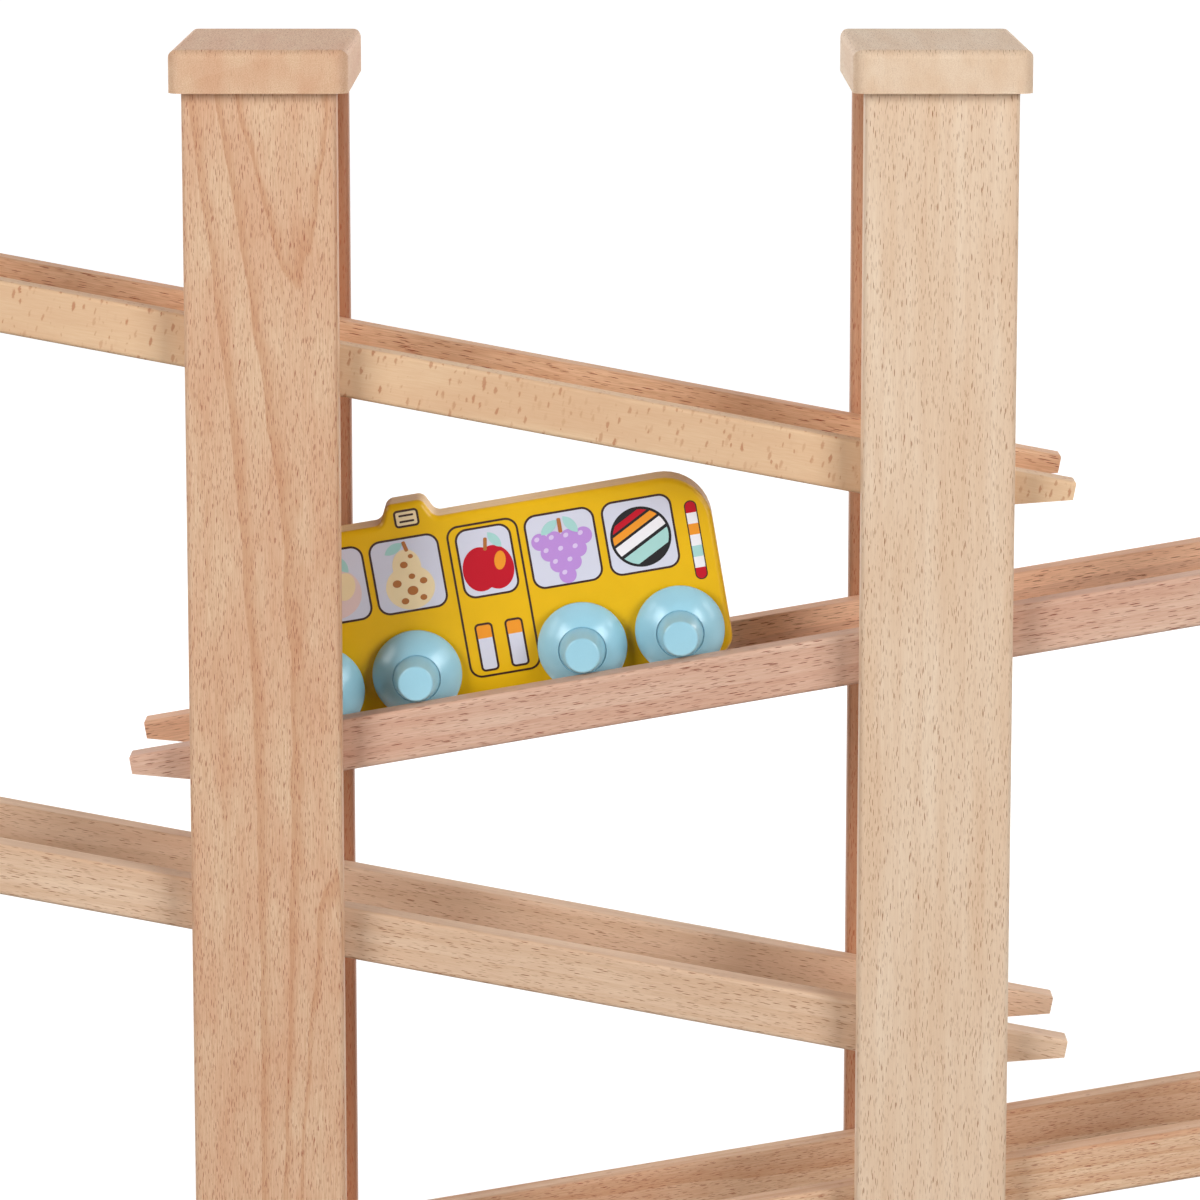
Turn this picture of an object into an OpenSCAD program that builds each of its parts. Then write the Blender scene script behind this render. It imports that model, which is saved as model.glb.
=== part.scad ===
// Click clack track toy: a bus rolls to and fro down a stack of ramps on its wheel hubs.
// Millimetres. X runs along the ramps, Y from front to rear, Z up from the floor under the middle.

/* [Posts] */
// Width of a post, seen from the front
post_w = 50; // [40:1:70]
// Thickness of a post, front to rear
post_t = 12; // [11:0.5:20]
// Clear width between the left and right posts
post_gap = 170; // [140:1:200]
// Rounding of the posts' long edges
post_round = 2; // [0.5:0.25:4]

/* [Ramps] */
// Slope of the ramps that fall to the right, in degrees
angle_right = 10.7; // [9:0.1:12]
// Slope of the ramps that fall to the left, in degrees
angle_left = 9.8; // [9:0.1:12]
// Height from one ramp to the next, in the middle
ramp_step = 94.25; // [92:0.25:110]
// Height of a rail
rail_h = 17; // [15:0.25:20]
// Thickness of a rail
rail_t = 11; // [10:0.25:14]
// Rounding of the rails' long edges
rail_round = 1.4; // [0.5:0.1:3]
// Clear slot between the front and rear rail of a ramp
track_gap = 48; // [46:0.5:50]
// How far the open tips of the rails reach past the posts
tip_reach = 21; // [16:0.5:30]
// Height of the wood that is left at an open tip
tip_h = 6; // [4:0.25:10]
// Angle of the cut under an open tip, in degrees
tip_cut = 15; // [12:0.5:25]
// Chamfer on the upper corner of an open tip
tip_chamfer = 0.5; // [0.3:0.1:3]
// Clear height between the lowest rails and the feet
foot_clear = 12; // [4:1:40]

/* [End stops] */
// Thickness of an end stop
stop_t = 12; // [10:0.5:20]
// Height of an end stop above the rails
stop_rise = 14; // [10:0.5:24]
// Rounding of an end stop's upper edges
stop_round = 3; // [1:0.25:5]
// How far the last hub passes the tip above when the bus meets a stop
stop_spare = 8; // [4:1:30]

/* [Feet and caps] */
// Width of a foot
foot_w = 60; // [52:1:90]
// Length of a foot, front to rear
foot_l = 190; // [140:5:260]
// Height of a foot
foot_h = 20; // [16:1:30]
// Rounding of a foot's corners, seen from above
foot_corner = 10; // [4:1:20]
// Thickness of a cap
cap_t = 14; // [12:0.5:20]
// How far a cap stands out past the posts
cap_lip = 4; // [0:0.5:10]
// Rounding of a cap's corners, seen from above
cap_corner = 5; // [2:0.5:10]
// Rounding of the upper edges of feet and caps
edge_round = 3; // [1:0.25:5]
// Headroom between the bus and the caps
head_room = 8; // [4:1:30]

/* [Dowels and screws] */
// Diameter of the dowels
dowel_d = 6; // [4:0.5:8]
// Depth of a dowel in a rail, in the face of a post or in a cap
dowel_in = 7.5; // [5:0.25:8]
// Depth of a dowel in the end of a stop or of a post
dowel_deep = 15; // [10:0.5:20]
// Distance between the two dowels of one joint
dowel_pitch = 20; // [14:1:24]
// Gap for glue all round a dowel
glue_gap = 0.05; // [0.02:0.01:0.1]
// Diameter of a foot screw
screw_d = 4; // [3:0.5:5]
// Diameter of a foot screw's head
screw_head_d = 8; // [7:0.5:10]
// Length of a foot screw
screw_l = 35; // [30:1:40]
// Distance between the two screws under a post
screw_pitch = 34; // [30:1:36]
// Depth of the screw heads in the underside of the feet
screw_sink = 1; // [0.5:0.25:3]

/* [Bus] */
// Length of the bus
bus_l = 156; // [150:1:170]
// Thickness of the bus
bus_t = 18; // [14:0.5:20]
// Height of the roof above the axles
roof_up = 51; // [44:0.5:56]
// Depth of the bus below the axles
sill_down = 11.5; // [8:0.25:13]
// Rounding of the roof's ends
roof_round = 16; // [6:0.5:20]
// Rounding of the lower corners
sill_round = 7; // [3:0.5:9]
// Place of the roof hatch along the bus
hatch_at = -22.5; // [-40:0.5:40]
// Width of the roof hatch at its top
hatch_w = 12; // [8:0.5:20]
// Height of the roof hatch
hatch_up = 6.5; // [4:0.25:9]
// Rounding of the roof hatch
hatch_round = 3; // [1:0.25:3.5]
// Place of the bus on its ramp, from the middle and uphill
bus_at = -31.5; // [-60:0.5:60]

/* [Wheels] */
// Distance of the outer axles from the ends of the bus
axle_end = 17; // [15:0.5:20]
// Gap between two neighbouring wheels
wheel_space = 3; // [2:0.25:6]
// Diameter of an axle
axle_d = 6; // [5:0.5:8]
// Play of an axle in its bore, on the radius
axle_play = 0.08; // [0.02:0.01:0.1]
// Gap round an axle where it is glued into a wheel
axle_fit = 0.03; // [0.01:0.01:0.05]
// Depth of an axle in a wheel
axle_in = 14; // [8:0.5:17]
// Diameter of a wheel
wheel_d = 30; // [26:0.5:31]
// Gap between a wheel and the bus
wheel_gap = 0.6; // [0.4:0.1:1]
// Rounding of a wheel's rim
rim_round = 2.2; // [1:0.1:3]
// Gap between a wheel's dome and a rail, at the foot of the hub
dome_gap = 4.05; // [3:0.05:5]
// Diameter of a hub where it leaves the dome
hub_foot_d = 15.3; // [14:0.1:16]
// Diameter of a hub's end face
hub_end_d = 11.6; // [10:0.1:13]
// How far a hub reaches over its rail
hub_over = 5.2; // [4:0.1:8]
// Chamfer round a hub's end face
hub_edge = 0.5; // [0.2:0.1:1]
// Gap between a hub and the rail that it rolls on
hub_gap = 0.2; // [0.1:0.05:0.3]

/* [Hidden] */
$fn = 64;

// Ramps are counted from the top. Odd ones fall to the right, even ones to the left.
ramp_count = 4;
bus_ramp = 2;
arc_steps = 10;
over = 1;
// Cross slot of a screw, as shares of its head's and its shank's diameter
slot_l = 0.6;
slot_w = 0.25;
slot_deep = 0.6;
beech = "burlywood";
dark_beech = "tan";
bus_yellow = "goldenrod";
wheel_blue = "lightblue";
steel = "silver";

// Places in plan, where a side is -1 for left or front and 1 for right or rear
track_w = track_gap + 2 * rail_t;
post_x = (post_gap + post_w) / 2;
post_y = (track_w + post_t) / 2;
post_out = post_gap / 2 + post_w;
axle_far = bus_l / 2 - axle_end;
axle_near = axle_far - wheel_d - wheel_space;
axle_places = [-axle_far, -axle_near, axle_near, axle_far];
frame_depth = track_w + 2 * post_t;
stop_x = post_out + tip_reach + stop_spare + axle_far + bus_l / 2;

function falls_right(i) = i % 2 == 1;
function slope(i) = falls_right(i) ? angle_right : angle_left;
function turn(i) = falls_right(i) ? 1 : -1;

// Distances along a ramp are measured from the middle and downhill
function tip_at(i) = (post_out + tip_reach - rail_h / 2 * sin(slope(i))) / cos(slope(i));
function stop_face(i) = stop_x / cos(slope(i));
function low_end(i) = i == ramp_count ? tip_at(i) + stop_t : tip_at(i);
function high_end(i) = stop_face(i) + stop_t;

// Heights
lowest_drop = post_out * tan(slope(ramp_count)) + rail_h / 2 / cos(slope(ramp_count));
lowest_z = foot_h + foot_clear + lowest_drop;
function ramp_z(i) = lowest_z + (ramp_count - i) * ramp_step;

// Wheel outline: the dome runs smoothly from the rounded rim to the foot of the hub,
// so its radius is dome_sum - dome_lean * dome_z, with dome_z the root of a quadratic
wheel_back = bus_t / 2 + wheel_gap;
rim_x = wheel_d / 2 - rim_round;
rim_z = wheel_back + rim_round;
hub_foot_x = hub_foot_d / 2;
hub_foot_z = track_gap / 2 - dome_gap;
hub_out = track_gap / 2 + hub_over;
dome_lean = (hub_foot_z - rim_z) / rim_round;
dome_sum = (rim_round * rim_round + hub_foot_x * hub_foot_x - rim_x * rim_x
    + hub_foot_z * hub_foot_z - rim_z * rim_z) / 2 / rim_round;
quad_a = dome_lean * dome_lean - 1;
quad_b = dome_sum * dome_lean - hub_foot_z;
quad_c = dome_sum * dome_sum - hub_foot_x * hub_foot_x - hub_foot_z * hub_foot_z;
dome_z = (quad_b - sqrt(quad_b * quad_b - quad_a * quad_c)) / quad_a;
dome_r = dome_sum - dome_lean * dome_z;
join_x = rim_x * dome_r / (dome_r - rim_round);
join_z = dome_z + (rim_z - dome_z) * dome_r / (dome_r - rim_round);
hub_taper = atan((hub_foot_x - hub_end_d / 2) / (hub_out - hub_foot_z));

// Height of the axles above the rails, with the tapered hubs on the rails' rounded edges
hub_to_edge = track_gap / 2 + rail_round - hub_foot_z;
edge_up = (rail_round + hub_gap) / cos(hub_taper) - rail_round;
axle_up = hub_foot_x - hub_to_edge * tan(hub_taper) + edge_up;

// The caps lie over the bus where it passes between the posts on the top ramp
bus_top = (rail_h / 2 + axle_up + roof_up + hatch_up) / cos(slope(1));
post_top = ramp_z(1) + post_out * tan(slope(1)) + bus_top + head_room;

// Points of an outline with each corner rounded: each entry is [x, y, radius]
function corner_arc(before, at, after) =
    let (
        p = [at.x, at.y],
        to_before = [before.x, before.y] - p,
        to_after = [after.x, after.y] - p,
        u = to_before / norm(to_before),
        w = to_after / norm(to_after),
        half = acos(u * w) / 2,
        centre = p + (u + w) / norm(u + w) * at.z / sin(half),
        from = p + u * at.z / tan(half) - centre,
        to = p + w * at.z / tan(half) - centre
    )
    [for (k = [0:arc_steps])
        let (a = (180 - 2 * half) * k / arc_steps)
        centre + (from * sin(180 - 2 * half - a) + to * sin(a)) / sin(180 - 2 * half)];

function rounded_outline(corners) =
    let (n = len(corners))
    [for (k = [0:n - 1])
        each corner_arc(corners[(k + n - 1) % n], corners[k], corners[(k + 1) % n])];

module rounded_square(size, r) {
    square([size.x - 2 * r, size.y], center = true);
    square([size.x, size.y - 2 * r], center = true);
    for (sx = [-1, 1], sy = [-1, 1])
        translate([sx * (size.x / 2 - r), sy * (size.y / 2 - r)])
            circle(r);
}

// A board on the XY plane with rounded corners and rounded upper edges
module board(size, corner) {
    intersection() {
        linear_extrude(size.z)
            rounded_square([size.x, size.y], corner);
        rotate([90, 0, 0])
            linear_extrude(size.y, center = true)
                rounded_square([size.x, 2 * size.z], edge_round);
        rotate([90, 0, 90])
            linear_extrude(size.x, center = true)
                rounded_square([size.y, 2 * size.z], edge_round);
    }
}

module along_y(d, length) {
    rotate([90, 0, 0])
        cylinder(d = d, h = length, center = true);
}

// Puts its children on a ramp: X runs downhill along the rails, Z square to them
module on_ramp(i) {
    translate([0, 0, ramp_z(i)])
        rotate([0, slope(i), falls_right(i) ? 0 : 180])
            children();
}

// Puts its children in the bus: X runs uphill, and the axles lie at height 0
module on_bus() {
    translate([0, 0, ramp_z(bus_ramp)])
        rotate([0, -slope(bus_ramp), 0])
            translate([bus_at, 0, rail_h / 2 + axle_up])
                children();
}

// Middles of the dowel joints between the rails of one side and the posts
module at_rail_joints(i, side) {
    on_ramp(i)
        for (sx = [-1, 1], k = [-0.5, 0.5])
            translate([sx * post_x / cos(slope(i)) + k * dowel_pitch, turn(i) * side * track_w / 2, 0])
                children();
}

// Middles of the dowel joints between one rail and a stop, which starts at a distance downhill
module at_stop_joint(i, side, start) {
    on_ramp(i)
        translate([start + stop_t / 2, turn(i) * side * track_gap / 2, 0])
            children();
}

// Places of the two dowels or screws in an end of a post
module at_post_joints(sx, side, pitch, z) {
    for (k = [-0.5, 0.5])
        translate([sx * post_x + k * pitch, side * post_y, z])
            children();
}

// A dowel stands on the joint between two pieces, as deep below as above or deeper
module dowel(below, above) {
    translate([0, 0, -below])
        cylinder(d = dowel_d, h = below + above);
}

module dowel_hole(below, above) {
    translate([0, 0, -below - glue_gap])
        cylinder(d = dowel_d + 2 * glue_gap, h = below + above + 2 * glue_gap);
}

module post(sx, side) {
    color(beech)
        difference() {
            translate([sx * post_x, side * post_y, foot_h])
                linear_extrude(post_top - foot_h)
                    rounded_square([post_w, post_t], post_round);
            for (i = [1:ramp_count])
                at_rail_joints(i, side)
                    rotate([90, 0, 0])
                        dowel_hole(dowel_in, dowel_in);
            at_post_joints(sx, side, dowel_pitch, post_top)
                dowel_hole(dowel_deep, dowel_in);
            at_post_joints(sx, side, screw_pitch, screw_sink)
                cylinder(d = screw_d + 2 * glue_gap, h = screw_l + glue_gap);
        }
}

// Side view of a rail, downhill to the right
module rail_outline(i) {
    low = low_end(i);
    taper = (rail_h - tip_h) / tan(tip_cut);
    tip = [
        [low - taper, -rail_h / 2],
        [low, rail_h / 2 - tip_h],
        [low, rail_h / 2 - tip_chamfer],
        [low - tip_chamfer, rail_h / 2]
    ];
    square_end = [[low, -rail_h / 2], [low, rail_h / 2]];
    polygon(concat(
        [[-high_end(i), rail_h / 2], [-high_end(i), -rail_h / 2]],
        i == ramp_count ? square_end : tip
    ));
}

module rail(i, side) {
    color(beech)
        difference() {
            on_ramp(i)
                translate([0, turn(i) * side * (track_gap + rail_t) / 2, 0])
                    intersection() {
                        rotate([90, 0, 0])
                            linear_extrude(rail_t + over, center = true)
                                rail_outline(i);
                        translate([-high_end(i), 0, 0])
                            rotate([90, 0, 90])
                                linear_extrude(high_end(i) + low_end(i))
                                    rounded_square([rail_t, rail_h], rail_round);
                    }
            at_rail_joints(i, side)
                rotate([90, 0, 0])
                    dowel_hole(dowel_in, dowel_in);
            at_stop_joint(i, side, -high_end(i))
                rotate([90, 0, 0])
                    dowel_hole(dowel_in, dowel_in);
            if (i == ramp_count)
                at_stop_joint(i, side, low_end(i) - stop_t)
                    rotate([90, 0, 0])
                        dowel_hole(dowel_in, dowel_in);
        }
}

// A block between the two rails of a ramp, which starts at a distance downhill
module stop_block(i, start) {
    height = rail_h + stop_rise;
    color(dark_beech)
        difference() {
            on_ramp(i)
                translate([start + stop_t / 2, 0, -rail_h / 2])
                    intersection() {
                        linear_extrude(height)
                            square([stop_t, track_gap], center = true);
                        rotate([90, 0, 0])
                            linear_extrude(track_gap, center = true)
                                rounded_square([stop_t, 2 * height], stop_round);
                    }
            for (side = [-1, 1])
                at_stop_joint(i, side, start)
                    rotate([90, 0, 0])
                        dowel_hole(dowel_deep, dowel_deep);
        }
}

module foot(sx) {
    color(beech)
        difference() {
            translate([sx * post_x, 0, 0])
                board([foot_w, foot_l, foot_h], foot_corner);
            for (side = [-1, 1])
                at_post_joints(sx, side, screw_pitch, screw_sink)
                    screw_hole();
        }
}

module cap(sx) {
    color(dark_beech)
        difference() {
            translate([sx * post_x, 0, post_top])
                board([post_w + 2 * cap_lip, frame_depth + 2 * cap_lip, cap_t], cap_corner);
            for (side = [-1, 1])
                at_post_joints(sx, side, dowel_pitch, post_top)
                    dowel_hole(dowel_deep, dowel_in);
        }
}

module rail_dowels() {
    color(dark_beech)
        for (i = [1:ramp_count], side = [-1, 1])
            at_rail_joints(i, side)
                rotate([90, 0, 0])
                    dowel(dowel_in, dowel_in);
}

module stop_dowel(i, side, start) {
    at_stop_joint(i, side, start)
        rotate([-turn(i) * side * 90, 0, 0])
            dowel(dowel_deep, dowel_in);
}

module stop_dowels() {
    color(dark_beech)
        for (side = [-1, 1]) {
            for (i = [1:ramp_count])
                stop_dowel(i, side, -high_end(i));
            stop_dowel(ramp_count, side, low_end(ramp_count) - stop_t);
        }
}

module cap_dowels() {
    color(dark_beech)
        for (sx = [-1, 1], side = [-1, 1])
            at_post_joints(sx, side, dowel_pitch, post_top)
                dowel(dowel_deep, dowel_in);
}

// A countersunk screw, head down
module screw_shape(room) {
    head_h = (screw_head_d - screw_d) / 2;
    rotate_extrude()
        polygon([
            [0, 0],
            [screw_head_d / 2 + room, 0],
            [screw_d / 2 + room, head_h],
            [screw_d / 2 + room, screw_l - screw_d],
            [0, screw_l]
        ]);
}

module screw_hole() {
    screw_shape(glue_gap);
    translate([0, 0, -screw_sink - over])
        cylinder(d = screw_head_d + 2 * glue_gap, h = screw_sink + over);
}

module foot_screws() {
    color(steel)
        for (sx = [-1, 1], side = [-1, 1])
            at_post_joints(sx, side, screw_pitch, screw_sink)
                difference() {
                    screw_shape(0);
                    for (a = [0, 90])
                        rotate([0, 0, a])
                            cube([screw_head_d * slot_l, screw_d * slot_w, screw_d * slot_deep], true);
                }
}

// Side view of the bus, with the roof hatch
module bus_outline() {
    hatch_left = hatch_at - hatch_w / 2;
    hatch_right = hatch_at + hatch_w / 2;
    polygon(rounded_outline([
        [-bus_l / 2, -sill_down, sill_round],
        [bus_l / 2, -sill_down, sill_round],
        [bus_l / 2, roof_up, roof_round],
        [hatch_right + hatch_up / 2, roof_up, hatch_round],
        [hatch_right, roof_up + hatch_up, hatch_round],
        [hatch_left, roof_up + hatch_up, hatch_round],
        [hatch_left - hatch_up / 2, roof_up, hatch_round],
        [-bus_l / 2, roof_up, roof_round]
    ]));
}

module bus_body() {
    color(bus_yellow)
        on_bus()
            difference() {
                rotate([90, 0, 0])
                    linear_extrude(bus_t, center = true)
                        bus_outline();
                for (x = axle_places)
                    translate([x, 0, 0])
                        along_y(axle_d + 2 * axle_play, bus_t + over);
            }
}

module axle(n) {
    color(dark_beech)
        on_bus()
            translate([axle_places[n - 1], 0, 0])
                along_y(axle_d, 2 * (wheel_back + axle_in));
}

// Half section of a wheel: X from the axle outwards, Y from the middle of the bus
module wheel_section() {
    difference() {
        union() {
            polygon([[0, wheel_back], [rim_x, wheel_back], [rim_x, rim_z], [join_x, join_z], [0, join_z]]);
            translate([rim_x, rim_z])
                circle(rim_round);
            intersection() {
                translate([0, dome_z])
                    circle(dome_r);
                translate([0, join_z])
                    square(wheel_d);
            }
            polygon([
                [0, join_z],
                [hub_foot_x, join_z],
                [hub_foot_x, hub_foot_z],
                [hub_end_d / 2 + hub_edge * tan(hub_taper), hub_out - hub_edge],
                [hub_end_d / 2 - hub_edge, hub_out],
                [0, hub_out]
            ]);
        }
        translate([-over, wheel_back - over])
            square([axle_d / 2 + axle_fit + over, axle_in + axle_fit + over]);
    }
}

module wheel(n, side) {
    color(wheel_blue)
        on_bus()
            translate([axle_places[n - 1], 0, 0])
                rotate([-90 * side, 0, 0])
                    rotate_extrude()
                        wheel_section();
}

post(-1, -1);  // post_front_left
post(1, -1);  // post_front_right
post(-1, 1);  // post_rear_left
post(1, 1);  // post_rear_right
foot(-1);  // foot_left
foot(1);  // foot_right
cap(-1);  // cap_left
cap(1);  // cap_right
rail(1, -1);  // ramp_1_rail_front
rail(1, 1);  // ramp_1_rail_rear
rail(2, -1);  // ramp_2_rail_front
rail(2, 1);  // ramp_2_rail_rear
rail(3, -1);  // ramp_3_rail_front
rail(3, 1);  // ramp_3_rail_rear
rail(4, -1);  // ramp_4_rail_front
rail(4, 1);  // ramp_4_rail_rear
stop_block(1, -high_end(1));  // ramp_1_end_stop
stop_block(2, -high_end(2));  // ramp_2_end_stop
stop_block(3, -high_end(3));  // ramp_3_end_stop
stop_block(4, -high_end(4));  // ramp_4_end_stop
stop_block(4, low_end(4) - stop_t);  // finish_stop
rail_dowels();
stop_dowels();
cap_dowels();
foot_screws();
bus_body();
axle(1);  // axle_1
axle(2);  // axle_2
axle(3);  // axle_3
axle(4);  // axle_4
wheel(1, -1);  // wheel_1_front
wheel(2, -1);  // wheel_2_front
wheel(3, -1);  // wheel_3_front
wheel(4, -1);  // wheel_4_front
wheel(1, 1);  // wheel_1_rear
wheel(2, 1);  // wheel_2_rear
wheel(3, 1);  // wheel_3_rear
wheel(4, 1);  // wheel_4_rear
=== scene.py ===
from math import acos, atan2, cos, pi, radians, sin

import bpy
from mathutils import Matrix, Vector


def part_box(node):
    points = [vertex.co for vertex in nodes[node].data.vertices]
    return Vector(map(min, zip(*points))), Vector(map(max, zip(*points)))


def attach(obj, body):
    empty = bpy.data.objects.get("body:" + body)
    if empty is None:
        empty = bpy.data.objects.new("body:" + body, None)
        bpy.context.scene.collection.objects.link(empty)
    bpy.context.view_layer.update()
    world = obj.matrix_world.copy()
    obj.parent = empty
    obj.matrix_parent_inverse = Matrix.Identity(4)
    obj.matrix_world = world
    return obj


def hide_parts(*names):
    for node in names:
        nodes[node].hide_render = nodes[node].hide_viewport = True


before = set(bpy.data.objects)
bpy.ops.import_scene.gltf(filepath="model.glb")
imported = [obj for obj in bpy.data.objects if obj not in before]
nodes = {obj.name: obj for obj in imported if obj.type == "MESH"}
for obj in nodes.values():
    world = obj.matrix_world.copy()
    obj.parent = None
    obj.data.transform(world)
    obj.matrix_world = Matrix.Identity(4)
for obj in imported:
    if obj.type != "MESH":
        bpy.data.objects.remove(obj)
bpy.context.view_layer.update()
mm = 0.001
perMm = (1 / mm,) * 3  # turns Object coordinates to mm
slack = 0.1 * mm  # leeway when points and edges are picked by their place
weld = 0.001 * mm  # points nearer than this are one
scene = bpy.context.scene
print("frame loaded:", len(nodes), "nodes")


def linearColour(hexText):
    # sRGB hex to the linear values that shaders take
    parts = [int(hexText[i:i + 2], 16) / 255 for i in (1, 3, 5)]
    return [p / 12.92 if p <= 0.04045 else ((p + 0.055) / 1.055) ** 2.4 for p in parts] + [1]


def addNode(tree, kind, settings=None, links=None):
    node = tree.nodes.new(kind)
    for name, value in (settings or {}).items():
        if isinstance(name, str) and hasattr(node, name):
            setattr(node, name, value)
        else:
            node.inputs[name].default_value = value
    for name, source in (links or {}).items():
        tree.links.new(source, node.inputs[name])
    return node


def newMaterial(name):
    material = bpy.data.materials.new(name)
    material.use_nodes = True
    return material, material.node_tree, material.node_tree.nodes["Principled BSDF"]


def startPiece():
    # leaves object mode with nothing selected, ready for a new primitive
    if bpy.context.mode != "OBJECT":
        bpy.ops.object.mode_set(mode="OBJECT")
    bpy.ops.object.select_all(action="DESELECT")


def pick(piece, kind, test):
    # selects the vertices, edges or faces whose place (and normal) passes a test, and nothing else
    bpy.ops.object.mode_set(mode="EDIT")
    bpy.ops.mesh.select_mode(type=kind)
    bpy.ops.mesh.select_all(action="DESELECT")
    bpy.ops.object.mode_set(mode="OBJECT")
    mesh = piece.data
    if kind == "VERT":
        for v in mesh.vertices:
            v.select = test(v.co)
    elif kind == "EDGE":
        for e in mesh.edges:
            e.select = test(*(mesh.vertices[i].co for i in e.vertices))
    else:
        for f in mesh.polygons:
            f.select = test(f.center, f.normal)
    bpy.ops.object.mode_set(mode="EDIT")


def closePiece(piece, angle=30):
    # back to object mode with clean outward faces and soft shading over the rounded edges
    bpy.ops.object.mode_set(mode="EDIT")
    bpy.ops.mesh.select_all(action="SELECT")
    bpy.ops.mesh.remove_doubles(threshold=weld)
    bpy.ops.mesh.normals_make_consistent(inside=False)
    bpy.ops.object.mode_set(mode="OBJECT")
    bpy.ops.object.shade_smooth_by_angle(angle=radians(angle))
    weighted = piece.modifiers.new("weightedNormals", "WEIGHTED_NORMAL")
    weighted.keep_sharp = True
    bpy.ops.object.modifier_apply(modifier=weighted.name)


def settle(piece, place=(0, 0, 0), turn=(0, 0, 0)):
    # puts the piece in place and writes that into its mesh
    startPiece()
    piece.select_set(True)
    bpy.context.view_layer.objects.active = piece
    piece.location = place
    piece.rotation_euler = turn
    bpy.ops.object.transform_apply(location=True, rotation=True, scale=True)


# Camera: a little above the toy, looking slightly down
view = {"lens": 161.76, "sensor": 36, "place": (-0.0002, -1.7815, 0.5956), "down": 10.03, "clipEnd": 60}
startPiece()
bpy.ops.object.camera_add(location=view["place"], rotation=(radians(90 - view["down"]), 0, 0))
camera = bpy.context.object
camera.data.lens = view["lens"]
camera.data.sensor_width = view["sensor"]
camera.data.clip_end = view["clipEnd"]
scene.camera = camera

# Light: two tall soft boxes in front and two weaker ones behind, in a room that is pale behind and dim
# in front; two further boxes show only as sheen. Each box has azimuth, height and power
studio = {
    "distance": 2.2, "aim": (0, 0, 0.3), "boxSize": (1.0, 1.4), "sheenSize": (1.7, 1.2),
    "boxes": {"left": (-43, 20, 32), "right": (43, 20, 32), "rearLeft": (-142, 26, 20),
              "rearRight": (142, 26, 20)},
    "sheens": {"leftSheen": (-72, 30, 36), "rightSheen": (72, 30, 36)},
    "room": 0.05, "roomColour": "#FFE6D2", "backdrop": "#FFFFFF",
    "front": 0.25, "rear": 0.8, "frontToRear": (-0.3, 0.4),
}
for name, (azimuth, height, power) in {**studio["boxes"], **studio["sheens"]}.items():
    a, h = radians(azimuth), radians(height)
    away = Vector((sin(a) * cos(h), -cos(a) * cos(h), sin(h)))
    bpy.ops.object.light_add(type="AREA", location=Vector(studio["aim"]) + away * studio["distance"],
                             rotation=away.to_track_quat("Z", "Y").to_euler())
    box = bpy.context.object
    box.name = name + "SoftBox"
    box.data.shape = "RECTANGLE"
    box.data.size, box.data.size_y = studio["sheenSize" if name in studio["sheens"] else "boxSize"]
    box.data.energy = power
    box.visible_camera = False
    box.visible_diffuse = name not in studio["sheens"]
room = bpy.data.worlds.new("room")
scene.world = room
room.use_nodes = True
tree = room.node_tree
tree.nodes.clear()
path = addNode(tree, "ShaderNodeLightPath")
around = addNode(tree, "ShaderNodeTexCoord")
gaze = addNode(tree, "ShaderNodeSeparateXYZ", None, {0: around.outputs["Generated"]})
mirrored = addNode(tree, "ShaderNodeMapRange", {
    "interpolation_type": "SMOOTHSTEP",
    "From Min": studio["frontToRear"][0], "From Max": studio["frontToRear"][1],
    "To Min": studio["front"], "To Max": studio["rear"],
}, {"Value": gaze.outputs["Y"]})
gloss = addNode(tree, "ShaderNodeMath", {"operation": "MAXIMUM"},
                {0: path.outputs["Is Glossy Ray"], 1: path.outputs["Is Transmission Ray"]})
direct = addNode(tree, "ShaderNodeMath", {"operation": "MAXIMUM"},
                 {0: path.outputs["Is Camera Ray"], 1: gloss.outputs[0]})
level = addNode(tree, "ShaderNodeMix", {"data_type": "FLOAT", 2: studio["room"]},
                {0: gloss.outputs[0], 3: mirrored.outputs[0]})
level = addNode(tree, "ShaderNodeMix", {"data_type": "FLOAT", 3: 1.0},
                {0: path.outputs["Is Camera Ray"], 2: level.outputs[0]})
tint = addNode(tree, "ShaderNodeMix", {
    "data_type": "RGBA", 6: linearColour(studio["roomColour"]), 7: linearColour(studio["backdrop"]),
}, {0: direct.outputs[0]})
sky = addNode(tree, "ShaderNodeBackground", None, {"Color": tint.outputs[2], "Strength": level.outputs[0]})
addNode(tree, "ShaderNodeOutputWorld", None, {"Surface": sky.outputs["Background"]})
scene.view_settings.view_transform = "Standard"

# Floor: matt paper, lifted to white where the camera or a reflection sees it, fully so away from the toy
paper = {
    "size": 60, "drop": 0.0002, "colour": "#747474", "roughness": 0.9,
    "near": 0.5, "far": 1.3, "nearLift": 0.89, "farLift": 1.0,
}
startPiece()
bpy.ops.mesh.primitive_plane_add(size=paper["size"], location=(0, 0, -paper["drop"]))
floor = bpy.context.object
floor.name = "floor"
material, tree, shader = newMaterial("whitePaper")
shader.inputs["Base Color"].default_value = linearColour(paper["colour"])
shader.inputs["Roughness"].default_value = paper["roughness"]
path = addNode(tree, "ShaderNodeLightPath")
direct = addNode(tree, "ShaderNodeMath", {"operation": "MAXIMUM"},
                 {0: path.outputs["Is Camera Ray"], 1: path.outputs["Is Glossy Ray"]})
direct = addNode(tree, "ShaderNodeMath", {"operation": "MAXIMUM"},
                 {0: direct.outputs[0], 1: path.outputs["Is Transmission Ray"]})
spot = addNode(tree, "ShaderNodeTexCoord")
away = addNode(tree, "ShaderNodeVectorMath", {"operation": "LENGTH"}, {0: spot.outputs["Object"]})
lift = addNode(tree, "ShaderNodeMapRange", {
    "From Min": paper["near"], "From Max": paper["far"],
    "To Min": paper["nearLift"], "To Max": paper["farLift"],
}, {"Value": away.outputs["Value"]})
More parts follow.
